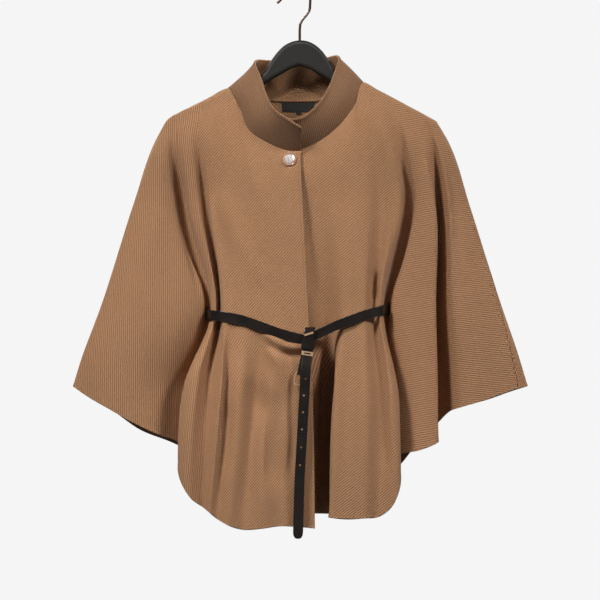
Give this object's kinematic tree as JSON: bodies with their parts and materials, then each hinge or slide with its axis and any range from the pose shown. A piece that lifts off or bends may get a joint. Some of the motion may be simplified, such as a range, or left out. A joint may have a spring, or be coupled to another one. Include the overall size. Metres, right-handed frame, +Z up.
{
  "type": "belted poncho cape on a clothes hanger",
  "caption": "Wool cape with a funnel collar, wide wing sleeves, a jewelled button and a knotted leather belt, hung on a hanger.",
  "frame": {"origin": "inner top of the hanger's hook, where a rail or a wall hook holds it", "axes": "+Z up along the stem, -Y the way the front faces, +X to the right as seen from the front"},
  "size_m": [0.705, 0.158, 0.8575],
  "materials": {
    "cloth": "camel wool twill, napped",
    "label": "black woven satin, bare",
    "button_metal": "polished rose gold",
    "jewel": "clear faceted, foil backed",
    "leather": "black-brown, glossy",
    "fittings": "polished gold",
    "hanger": "charcoal, satin",
    "hook": "dark copper brown"
  },
  "bodies": {
    "root": {"front_left": "cloth", "front_right": "cloth", "back": "cloth", "collar": "cloth", "neck_label": "label", "size_tab": "label", "button_rim": "button_metal", "button_jewel": "jewel", "belt_left": "leather", "belt_right": "leather", "belt_inside": "leather", "belt_knot": "leather", "belt_tail": "leather", "belt_buckle_end": "leather", "keeper_bar": "fittings", "keeper_loop": "fittings", "buckle_frame": "fittings", "buckle_tongue": "fittings", "hanger_arms": "hanger", "hanger_hook": "hook"}
  },
  "joints": []
}
